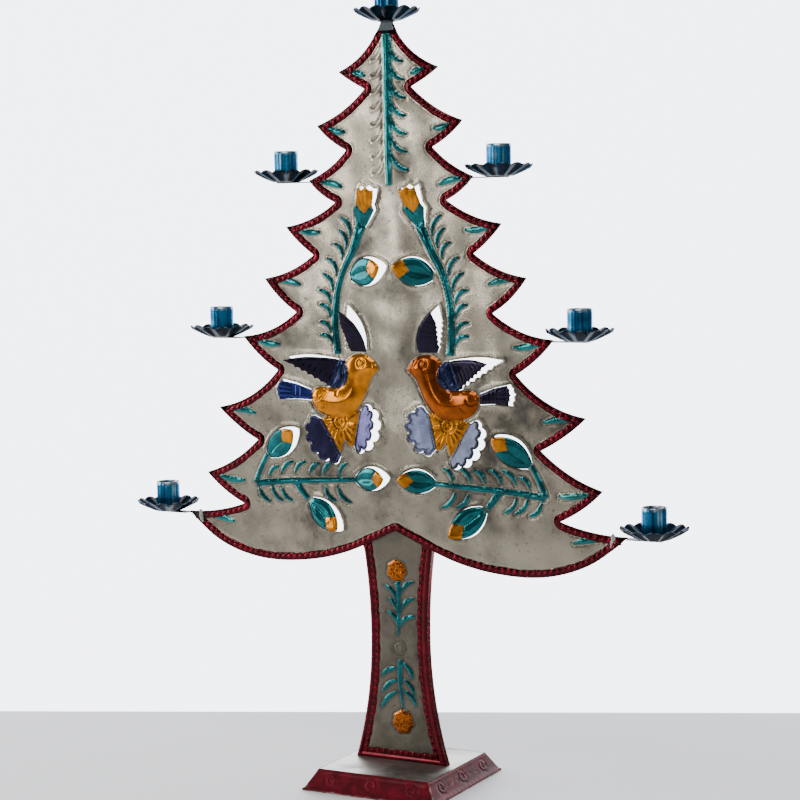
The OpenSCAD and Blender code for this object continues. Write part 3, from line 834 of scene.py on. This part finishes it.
def trunk_edge(d, s):
    """The sheet rolls back at its edge; then a round moulding, a fine line, and a band of punched dots.

    Returns height, the width of the lacquer, and how brightly it shows: lighter on the dots and the moulding,
    partly for thinner lacquer and partly as painted highlight."""
    dots = np.exp(-(((d - 8.0) / 1.3) ** 2)) * (0.5 + 0.5 * np.cos(2 * np.pi * s / 6.6)) ** 2.5
    h = -1.9 * (1 - (d / 1.9).clip(0, 1)) ** 2 + 0.7 * np.exp(-(((d - 2.9) / 1.5) ** 2))
    h += 0.8 * dots - 0.4 * np.exp(-(((d - 5.3) / 0.6) ** 2)) - 0.4 * np.exp(-(((d - 10.9) / 0.6) ** 2))
    # lighter on the dots and the moulding: partly thinner lacquer, partly painted highlight
    thin = 0.7 + 2.0 * dots + 0.9 * np.exp(-(((d - 2.6) / 1.2) ** 2))
    return h, 10.9 + 0.4 * np.sin(s / 4.3) + 0.3 * np.sin(s / 1.7), thin


def trunk_place(points, height):
    """The front faces -Y. Where the tree's sheet laps over the trunk it was beaten flat for the solder."""
    tree_edge = tree_outline + [0, TREE_FOOT]
    d, _, _ = line_distance(points, tree_edge, True)
    over = inside(points, tree_edge)
    free = ((np.where(over, -d, d) - 0.6) / 3).clip(0, 1)
    ahead = TIN * (height > 0.5 * TIN) * (1 - free) + np.array(height) * free
    return np.column_stack([points[:, 0], trunk_face + TIN - ahead, points[:, 1]])


def wall(line, near_y, far_y, thick, colour):
    """A closed strip of sheet standing on edge along a line, its thickness to the left of the line."""
    p = np.array(line, float)
    q = p + left_of(np.gradient(p, axis=0)) * thick
    loops = [(p, near_y), (p, far_y), (q, far_y), (q, near_y)]
    verts = np.vstack([np.column_stack([a[:, 0], np.full(len(p), y), a[:, 1]]) for a, y in loops])
    n = len(p)
    i = np.arange(n - 1)
    faces = []
    for k in range(4):
        a, b = k * n, (k + 1) % 4 * n
        faces += [np.column_stack([a + i, a + i + 1, b + i + 1]), np.column_stack([a + i, b + i + 1, b + i])]
    for e, turn in ((0, 1), (n - 1, -1)):
        faces.append(np.array([[e, n + e, 2 * n + e], [e, 2 * n + e, 3 * n + e]])[:, ::turn])
    faces = np.vstack(faces)
    return verts, faces, np.tile(colour, (len(faces) * 3, 1)), np.zeros(len(faces), bool)


# the side walls are painted a lighter red than the front: a painted highlight for the light they catch
lit_side_red = RED * [1.6, 1.5, 1.5, 1]
parts = [chased_sheet(trunk_outline, [], trunk_work, trunk_place, 1.2, 4.0, edge=trunk_edge, band=11.8,
                      warp=lambda p: 0.25 * waves(p, 30, 21), rim=1.2)]
for side in (flank, flipped(flank)[::-1]):
    parts.append(wall(side, trunk_face + 1.8, trunk_rear, 0.6, lit_side_red))
# the trunk's bare tin is painted far darker than the tree's: a painted reflection of a dark floor
trunk_tin = lacquered_tin("trunk tinplate", tin=(0.150, 0.134, 0.106), old=(0.040, 0.036, 0.030), rough=0.38)
make_piece("trunk_face", joined(parts), trunk_tin, "trunk_tin", "trunk_front")

# ---------------------------------------------------------------------------
# The back of the trunk and the sheet under the base: plain offcuts of the same
# tinplate, flat, cut to size and soldered in.

plain_tin = lacquered_tin("plain tinplate", None, tin=(0.44, 0.42, 0.37), rough=0.42, grain=1.4)
for name in ("trunk_back", "base_bottom"):
    nodes[name].data.materials.clear()
    nodes[name].data.materials.append(plain_tin)

# ---------------------------------------------------------------------------
# The base: four sloped sides with a turned hem and a flat top, folded from tin.
# The sides are stamped with rosettes and scallops and lacquered red; the lacquer
# has rubbed off the hem and the corners. The top is bare.

lo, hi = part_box("base_shell")
hem, base_high = hi.x / MM, hi.z / MM
side_path = np.array([[hem, 0], [hem, 2.2], [hem - 1.9, 2.6], [60.5, base_high]])
side_at = np.r_[0, np.cumsum(np.hypot(*np.diff(side_path, axis=0).T))]
side_half = np.column_stack([side_path[:, 0], side_at])
base_outline = np.vstack([side_half, flipped(side_half)[::-1]])
base_work = Chasing()
middle = 0.5 * (side_at[2] + side_at[3])
for x in (-44, 0, 44):
    for radius, depth in ((6.2, 0.45), (4.4, -0.45), (2.2, 0.45)):
        base_work.line(hoop([x, middle], radius, np.linspace(-0.4, 5.1, 19)), depth, 0.6)
for x0, x1 in ((-36, -8), (8, 36)):
    s = np.linspace(0, 1, 57)
    scallops = middle - 1.5 + 1.8 * abs(np.sin(5 * np.pi * s))
    base_work.line(np.column_stack([x0 + (x1 - x0) * s, scallops]), 0.45, 0.6)
    base_work.line([[x0, middle + 4.2], [x1, middle + 4.2]], 0.3, 0.5)
base_work.line([[-60, side_at[3] - 2.2], [60, side_at[3] - 2.2]], -0.5, 1.0)


def side_place(turn):
    """Places one side: up the hem, in over its ledge and up the slope, then turned about the upright axis.

    Nothing stands out past the hem."""
    slope = np.diff(side_path, axis=0)
    out = np.column_stack([slope[:, 1], -slope[:, 0]]) / np.hypot(*slope.T)[:, None]
    out = np.vstack([out[0], out[0], out[2], out[2]])
    c, s = math.cos(turn), math.sin(turn)

    def place(points, height):
        t = points[:, 1]
        proud = height - TIN
        far = np.interp(t, side_at, side_path[:, 0]) + proud * np.interp(t, side_at, out[:, 0])
        far = np.minimum(far, hem - 0.02)
        z = np.interp(t, side_at, side_path[:, 1]) + proud * np.interp(t, side_at, out[:, 1])
        return np.column_stack([c * points[:, 0] + s * far, s * points[:, 0] - c * far, z.clip(0)])

    return place


def rubbed(mesh_arrays, edges, seed):
    """Takes the lacquer off near the given edges, in patches, down to grimy tin.

    edges(corner places) is the distance to the nearest edge, in about millimetres."""
    verts, faces, corners, flags = mesh_arrays
    where = verts[faces.ravel()]
    patch = waves(where[:, [0, 2]] + where[:, [1]], 5.5, seed) + 0.5 * waves(where[:, [0, 1]], 1.7, seed + 1)
    bare = ((0.9 - edges(where) + 0.7 * patch) / 0.8).clip(0, 1)[:, None]
    corners = corners * (1 - bare) + np.array([0.5, 0.45, 0.4, 0.0]) * bare
    return verts, faces, corners, flags


def base_edge(where):
    """Distance to the foot, to the top edge of the slope, or to the nearest corner line."""
    across, deep = abs(where[:, 0]), abs(where[:, 1])
    foot, top = where[:, 2] * 0.8 + 0.6, (base_high - where[:, 2]) * 1.6 + 0.9
    return np.minimum(np.minimum(foot, top), abs(across - deep) + 0.7)


def top_place(points, height):
    """The top lies flat, its outer face just under the full height of the base."""
    return np.column_stack([points, base_high - TIN + height * 0.999])


parts = []
for k in range(4):
    side = chased_sheet(base_outline, [], base_work, side_place(k * math.pi / 2), 1.6, 4.0, back_step=6.0,
                        warp=lambda p: 0.25 * waves(p, 22, 31), base=RED * [1.1, 2, 1.3, 1])
    parts.append(rubbed(side, base_edge, 40 + k))
top_half = side_path[3, 0]
top_outline = np.array([[-1, -1], [1, -1], [1, 1], [-1, 1]]) * top_half
top_work = Chasing()
top_work.line(smooth([[-52, -46], [-10, -41], [30, -47], [52, -52]], 8), 0.25, 0.8)
parts.append(chased_sheet(top_outline, [], top_work, top_place, 3.0, 5.0, back_step=9.0,
                          warp=lambda p: 0.12 * waves(p, 25, 61) - 0.15))
base_tin = lacquered_tin("base tinplate", tin=(0.40, 0.39, 0.35), old=(0.13, 0.125, 0.11), rough=0.44,
                         gloss=0.42, wear=0.75, metal=0.4, coat=0.05)
make_piece("base_folded", joined(parts), base_tin, "base_red", "base_shell")

# ---------------------------------------------------------------------------
# The saddle over the apex and the six arms are strips of darkened tin. Each arm
# lies flat under its pan and is soldered behind its branch tip.

strip_tin = lacquered_tin("dark strip", lacquer=(0.020, 0.032, 0.045), old=(0.20, 0.21, 0.22), rough=0.4,
                          gloss=0.32, wear=0.5)
for name in [n for n in nodes if n.startswith("arm_")] + ["apex_bracket"]:
    nodes[name].data.materials.clear()
    nodes[name].data.materials.append(strip_tin)

# ---------------------------------------------------------------------------
# Drip pans: discs of tin pressed into rounded flutes and dipped in blue-black
# lacquer, which has worn through along the sharp folds between the flutes.

FLUTES = 14
FLUTE_STEPS = 10
PAN_FLAT = 13
PAN_TIN = 0.6
NAVY = np.array([0.005, 0.028, 0.050, 1])
WORN_BLUE = np.array([0.20, 0.31, 0.42, 0.8])


def turned(profile, steps, place, closed):
    """A profile turned about the upright axis; place(angle, *point) gives each vertex.

    A closed profile runs back into its start; an open one begins and ends at a pole on the axis."""
    angle = np.linspace(0, 2 * np.pi, steps, endpoint=False)
    verts = np.vstack([np.column_stack(place(angle, *point)) for point in profile])
    index = np.arange(len(profile) * steps).reshape(len(profile), steps)
    if not closed:
        index[0] = index[0, 0]
        index[-1] = index[-1, 0]
    a, b = (index, np.roll(index, -1, 0)) if closed else (index[:-1], index[1:])
    a2, b2 = np.roll(a, -1, 1), np.roll(b, -1, 1)
    faces = np.vstack([np.stack(t, -1).reshape(-1, 3) for t in ((a, a2, b2), (a, b2, b))])
    same = (faces == np.roll(faces, 1, 1)).any(1)
    used, faces = np.unique(faces[~same], return_inverse=True)
    return verts[used], faces.reshape(-1, 3)


def flute(angle, turn):
    """Rounded arches with sharp folds between them, from -1 in a fold to 1 on a crest."""
    return 2 * np.abs(np.cos(FLUTES / 2 * (angle - turn))) ** 0.75 - 1


# the underside as (radius, height, share of the flutes' full depth)
under = [(0, 0.0, 0), (6, 0.0, 0), (11.4, 0.0, 0), (13.2, 0.35, 0.12), (16, 1.6, 0.35), (19.5, 3.3, 0.55),
         (23.5, 5.3, 0.75), (27.5, 7.4, 0.9), (30.5, 9.1, 1.0), (32.0, 10.0, 1.0)]
pan_profile = under + [(32.3, 10.35, 1.0)] + [(max(r - 0.25, 0), z + PAN_TIN, f) for r, z, f in under[::-1]]
pan_tin = lacquered_tin("pan lacquer", tin=(0.40, 0.42, 0.44), old=(0.20, 0.22, 0.24), rough=0.34, gloss=0.30,
                        wear=0.4, sheen=(0.12, 0.36, 0.50), coat=0.1)
for count, name in enumerate(sorted(n for n in nodes if n.startswith("pan_"))):
    lo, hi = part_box(name)
    centre = (lo + hi) / (2 * MM)
    rng = np.random.default_rng(70 + count)
    turn = rng.uniform(0, 2 * np.pi / FLUTES)
    bent = rng.normal(0, 0.22, 4)

    def pan_point(angle, radius, height, depth):
        """The flutes wave the height and draw the rim in at the folds; two slow waves bend the whole pan."""
        wave = flute(angle, turn)
        r = radius - 0.45 * depth * (1 - wave) * (radius > 31)
        sway = depth * (bent[0] * np.cos(2 * angle + bent[1] * 9) + bent[2] * np.cos(3 * angle + bent[3] * 9))
        return (centre.x + r * np.cos(angle), centre.y + r * np.sin(angle),
                lo.z / MM + height + 1.35 * depth * wave + sway * (depth > 0) + 0.15 * depth)

    verts, faces = turned(pan_profile, FLUTES * FLUTE_STEPS, pan_point, False)
    angle = np.arctan2(verts[:, 1] - centre.y, verts[:, 0] - centre.x)
    radius = np.hypot(verts[:, 0] - centre.x, verts[:, 1] - centre.y)
    fold = ((-0.35 - flute(angle, turn)) / 0.5).clip(0, 1) * ((radius - PAN_FLAT) / 4).clip(0, 1)
    fold *= 0.60 + 0.35 * np.sin(9 * angle + count) * np.sin(radius / 3 + count)
    fold = np.maximum(fold, 0.6 * (radius > 31.6) * (np.sin(23 * angle + count) > 0.1))[:, None]
    shade = 1 + 0.5 * waves(verts[:, :2], 9, 80 + count)[:, None]
    colours = NAVY * np.column_stack([shade, shade, shade, np.ones(len(verts))])
    colours = colours * (1 - fold) + WORN_BLUE * fold
    make_piece("fluted_" + name, (verts, faces, colours[faces.ravel()], np.ones(len(faces), bool)), pan_tin,
               "pan_blue_black", name)

# ---------------------------------------------------------------------------
# Candle cups: strips of tin rolled into tubes with a soldered lap at the back,
# lacquered a clear bright blue that ran down in streaks; the cut rim is bare.

BORE, OUTSIDE, LAP = 11.1, 11.7, 0.4
DEEP_BLUE = np.array([0.004, 0.050, 0.150, 1])
CLEAR_BLUE = np.array([0.035, 0.33, 0.62, 1])
PALE_RUN = np.array([0.55, 0.80, 0.92, 0.8])
CUT_RIM = np.array([0.9, 0.9, 0.9, 0.0])
cup_tin = lacquered_tin("cup lacquer", tin=(0.60, 0.60, 0.58), old=(0.34, 0.34, 0.33), rough=0.3, gloss=0.24,
                        wear=0.25, metal=0.8, grain=0.8, sheen=(0.15, 0.42, 0.6), coat=0.06)
for count, name in enumerate(sorted(n for n in nodes if n.startswith("cup_"))):
    lo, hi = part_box(name)
    pan_lo, pan_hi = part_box(name.replace("cup", "pan"))
    middle_y = (pan_lo.y + pan_hi.y) / (2 * MM)
    centre_x, foot, rim = (lo.x + hi.x) / 2 / MM, lo.z / MM, hi.z / MM
    rng = np.random.default_rng(90 + count)
    outer = [(OUTSIDE, z) for z in np.linspace(foot, rim - 0.15, 9)]
    inner = [(BORE, z) for z in np.linspace(rim - 0.15, foot, 9)]
    cup_profile = outer + [((OUTSIDE + BORE) / 2, rim)] + inner

    def cup_point(angle, radius, height):
        """The lap adds its thickness to the outside, across 4 mm at the back."""
        lap = LAP * (radius > BORE + 0.1) * np.exp(-((np.abs((angle - np.pi / 2)) / 0.19) ** 8))
        r = radius + lap
        return centre_x + r * np.cos(angle), middle_y + r * np.sin(angle), np.full(len(angle), height)

    verts, faces = turned(cup_profile, 96, cup_point, True)
    angle = np.arctan2(verts[:, 1] - middle_y, verts[:, 0] - centre_x)
    runs = [np.sin(k * angle + rng.uniform(0, 6.28)) * rng.uniform(0.3, 1) for k in (2, 3, 5, 8, 13, 21)]
    streak = (0.5 + 0.5 * (sum(runs) / 2.6) + 0.12 * np.sin(verts[:, 2] / 4 + count)).clip(0, 1)[:, None]
    colours = DEEP_BLUE * (1 - streak) + CLEAR_BLUE * streak
    pale = ((streak - 0.80) / 0.15).clip(0, 1) * 0.7
    colours = colours * (1 - pale) + PALE_RUN * pale
    # the inside of each cup is painted darker: painted shade in the recess
    within = np.hypot(verts[:, 0] - centre_x, verts[:, 1] - middle_y) < BORE + 0.1
    colours[within, :3] *= 0.35
    bare = ((verts[:, 2:] - rim + 0.6 + 0.4 * np.sin(5 * angle)[:, None]) / 0.5).clip(0, 1) * 0.7
    colours = colours * (1 - bare) + CUT_RIM * bare
    make_piece("rolled_" + name, (verts, faces, colours[faces.ravel()], np.ones(len(faces), bool)), cup_tin,
               "cup_blue", name)

# ---------------------------------------------------------------------------
# Solder run over the front of the two lowest tips, where each was mended: two
# crossing beads of bare bright metal on a thin smear.

SMEAR = 0.35
smear = smooth([[225.2, 33.5], [228.5, 34.5], [230.6, 40], [230.3, 46], [227.5, 46.8], [225.6, 41],
                [225.2, 33.5]], 4)[:-1]
long_bead = [[226, 34.5], [227.5, 40], [229.6, 45.6]]
short_bead = [[228.6, 35.5], [227.6, 40], [227.4, 46]]


def smear_place(points, height):
    """The smear stands on the front of the tree's sheet."""
    return np.column_stack([points[:, 0], FRONT - TIN - SMEAR - height, points[:, 1] + TREE_FOOT])


solder = lacquered_tin("bright solder", None, tin=(0.40, 0.38, 0.34), old=(0.15, 0.14, 0.125), rough=0.3,
                       grain=2.0)
for side, name in ((-1, "patch_left"), (1, "patch_right")):
    beads = Chasing()
    beads.line(np.array(long_bead) * [side, 1], -0.30, 0.7)
    beads.line(np.array(short_bead) * [side, 1], -0.30, 0.6)
    lump = chased_sheet(smear * [side, 1], [], beads, smear_place, 0.5, 1.0, back_step=1.5, thick=SMEAR,
                        rim=0.7)
    make_piece("solder_" + name, lump, solder, "bare_solder", name)

# ---------------------------------------------------------------------------
# Studio: a pale floor, a lit backdrop some way behind, large soft lamps, and one
# dull board beside the camera that the bare tin mirrors, so that its relief has
# light and dark to show.


def plain(name, colour, rough):
    """An even matt paint for the studio."""
    mat = bpy.data.materials.new(name)
    mat.use_nodes = True
    mat.node_tree.nodes["Principled BSDF"].inputs["Base Color"].default_value = (*colour, 1)
    mat.node_tree.nodes["Principled BSDF"].inputs["Roughness"].default_value = rough
    return mat


def board(name, centre, aim, size, mat):
    """A flat board, level unless it is given a place to face."""
    w, h = size[0] / 2, size[1] / 2
    mesh = bpy.data.meshes.new(name)
    mesh.from_pydata([(-w, -h, 0), (w, -h, 0), (w, h, 0), (-w, h, 0)], [], [(0, 1, 2, 3)])
    mesh.materials.append(mat)
    o = bpy.data.objects.new(name, mesh)
    bpy.context.scene.collection.objects.link(o)
    o.location = centre
    if aim is not None:
        o.rotation_euler = (Vector(centre) - Vector(aim)).to_track_quat("-Z", "Y").to_euler()
    return o


def softbox(name, at, aim, size, watts):
    """A soft rectangular lamp turned towards a place."""
    lamp = bpy.data.lights.new(name, "AREA")
    lamp.shape = "RECTANGLE"
    lamp.size, lamp.size_y = size
    lamp.energy = watts
    o = bpy.data.objects.new(name, lamp)
    bpy.context.scene.collection.objects.link(o)
    o.location = at
    o.rotation_euler = (Vector(aim) - Vector(at)).to_track_quat("-Z", "Y").to_euler()


# the way the camera looks, level; the floor ends a little way behind the object, turned a few degrees
view = Vector((-0.4756, 0.8797, 0))
floor_deep, floor_behind = 5, 0.27
floor = board("floor", view * (floor_behind - floor_deep / 2), None, (9, floor_deep),
              plain("pale floor", (0.70, 0.69, 0.68), 0.55))
floor.rotation_euler = (0, 0, math.radians(23.4))
glow = plain("lit backdrop", (0.9, 0.92, 0.95), 0.9)
glow.node_tree.nodes["Principled BSDF"].inputs["Emission Color"].default_value = (0.90, 0.93, 1.0, 1)
glow.node_tree.nodes["Principled BSDF"].inputs["Emission Strength"].default_value = 5.3
board("backdrop", view * 3.3 + Vector((0, 0, 0.3)), view * -1 + Vector((0, 0, 0.3)), (9, 7), glow)
dull = plain("dull room", (0.05, 0.047, 0.04), 0.9)
board("room", (-1.15, -2.6, 0.95), (0, 0, 0.5), (2.0, 1.9), dull)

world = bpy.data.worlds.new("studio")
bpy.context.scene.world = world
world.use_nodes = True
world.node_tree.nodes["Background"].inputs["Color"].default_value = (0.93, 0.95, 1.0, 1)
world.node_tree.nodes["Background"].inputs["Strength"].default_value = 0.32

softbox("window", (-2.3, -0.9, 1.0), (0, 0, 0.42), (1.3, 1.7), 42)
softbox("strip window", (-1.32, -2.35, 0.95), (0, 0, 0.45), (0.26, 1.3), 9)
softbox("near window", (1.6, -2.7, 1.15), (0, 0, 0.45), (1.0, 1.2), 7)
softbox("overhead", (0.2, -1.3, 2.1), (0, 0, 0.4), (1.6, 0.7), 16)

camera = bpy.data.cameras.new("camera")
camera.sensor_width = 36
camera.lens = 92.14
camera.dof.use_dof = False
camera = bpy.data.objects.new("camera", camera)
bpy.context.scene.collection.objects.link(camera)
camera.matrix_world = (Matrix.Translation((0.949, -1.7469, 0.5555))
                       @ Matrix.Rotation(math.radians(28.4), 4, "Z")
                       @ Matrix.Rotation(math.radians(84.9), 4, "X")
                       @ Matrix.Rotation(math.radians(-1.07), 4, "Z"))
bpy.context.scene.camera = camera
